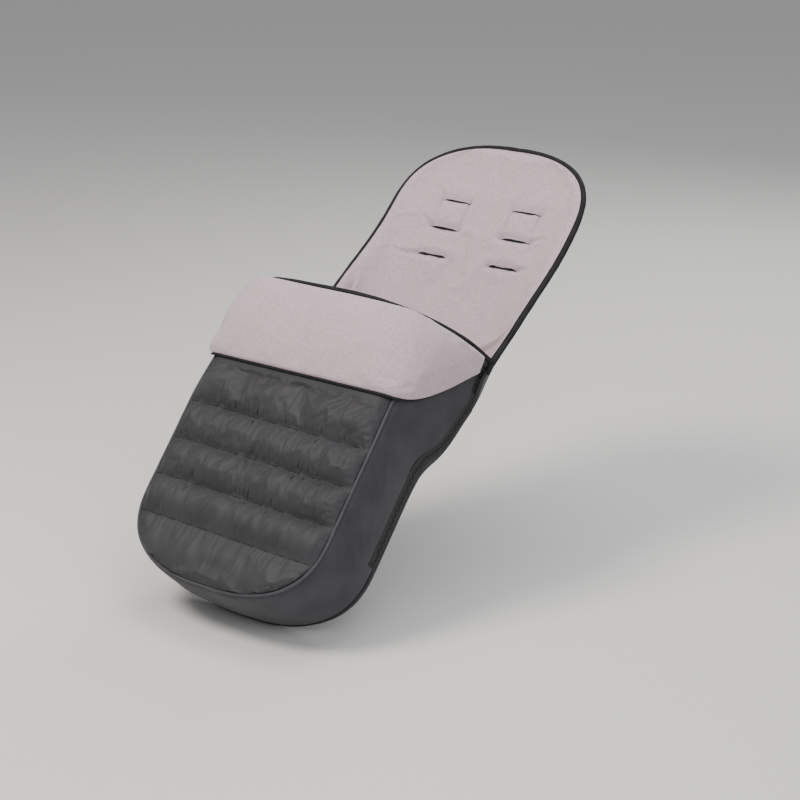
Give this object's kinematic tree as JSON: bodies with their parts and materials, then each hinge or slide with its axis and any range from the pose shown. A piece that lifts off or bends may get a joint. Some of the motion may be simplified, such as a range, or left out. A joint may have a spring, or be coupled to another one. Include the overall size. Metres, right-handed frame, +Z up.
{
  "type": "stroller footmuff",
  "caption": "Padded footmuff for a pushchair: rounded liner with harness slits, zip-off quilted boot front, side wall, fleece lining and turned-down fleece cuff.",
  "frame": {"origin": "on the underside of the seat section, on the middle line, where the footmuff rests on a seat", "axes": "+X to the occupant's left when seated, seen from the front it is the picture's right; +Y to the rear; +Z up"},
  "size_m": [0.4138, 0.7696, 0.6133],
  "materials": {
    "fleece": "napped fleece, matte",
    "wadding": "fibre wadding",
    "plain_cloth": "plain woven, satin",
    "quilted_cloth": "coated woven, sheeny",
    "grip_cloth": "dotted grip cloth",
    "elastic": "ribbed elastic",
    "slit_trim": "bound and stitched",
    "binding": "woven tape",
    "zip": "moulded teeth on woven tape",
    "zip_metal": "black enamel"
  },
  "bodies": {
    "liner": {"back_elastic": "elastic", "back_shell": "plain_cloth", "crotch_slit_binding": "slit_trim", "fleece_facing": "fleece", "grip_patch": "grip_cloth", "liner_wadding": "wadding", "liner_zip_left": "zip", "liner_zip_right": "zip", "rim_binding": "binding", "slit_binding_low_left": "slit_trim", "slit_binding_low_right": "slit_trim", "slit_binding_middle_left": "slit_trim", "slit_binding_middle_right": "slit_trim", "slit_binding_top_left": "slit_trim", "slit_binding_top_right": "slit_trim", "slit_stitching_left_inner": "slit_trim", "slit_stitching_left_outer": "slit_trim", "slit_stitching_right_inner": "slit_trim", "slit_stitching_right_outer": "slit_trim", "toe_piping": "binding", "zip_stop_left": "zip_metal", "zip_stop_right": "zip_metal"},
    "apron": {"quilted_shell": "quilted_cloth", "apron_wadding": "wadding", "apron_lining": "fleece", "gusset_shell": "plain_cloth", "gusset_lining": "fleece", "front_piping": "binding", "mouth_binding": "binding", "apron_zip_left": "zip", "apron_zip_right": "zip"},
    "cuff": {"cuff_fleece": "fleece", "cuff_backing": "plain_cloth", "cuff_binding": "binding"},
    "slider_left": {"zip_slider_left": "zip_metal"},
    "pull_left": {"zip_pull_left": "zip_metal"},
    "slider_right": {"zip_slider_right": "zip_metal"},
    "pull_right": {"zip_pull_right": "zip_metal"}
  },
  "joints": [
    {"name": "apron_fold", "type": "hinge", "parent": "liner", "child": "apron", "pos_m": [0, -0.30504, -0.21786], "axis": [1, 0, 0], "range_deg": [0, 100]},
    {"name": "cuff_turn_up", "type": "hinge", "parent": "apron", "child": "cuff", "pos_m": [0, 0.0489, 0.128], "axis": [-1, 0, 0], "range_deg": [0, 38]},
    {"name": "zip_run_left", "type": "hinge", "parent": "liner", "child": "slider_left", "pos_m": [-0.19163, -0.12988, 0.1954], "axis": [-1, 0, 0], "range_deg": [0, 37]},
    {"name": "pull_swing_left", "type": "hinge", "parent": "slider_left", "child": "pull_left", "pos_m": [-0.19163, 0.02865, 0.11402], "axis": [0, 0.7975, -0.6033], "range_deg": [0, 80]},
    {"name": "zip_run_right", "type": "hinge", "parent": "liner", "child": "slider_right", "pos_m": [0.19163, -0.12988, 0.1954], "axis": [-1, 0, 0], "range_deg": [0, 37]},
    {"name": "pull_swing_right", "type": "hinge", "parent": "slider_right", "child": "pull_right", "pos_m": [0.19163, 0.02865, 0.11402], "axis": [0, -0.7975, 0.6033], "range_deg": [0, 80]}
  ]
}
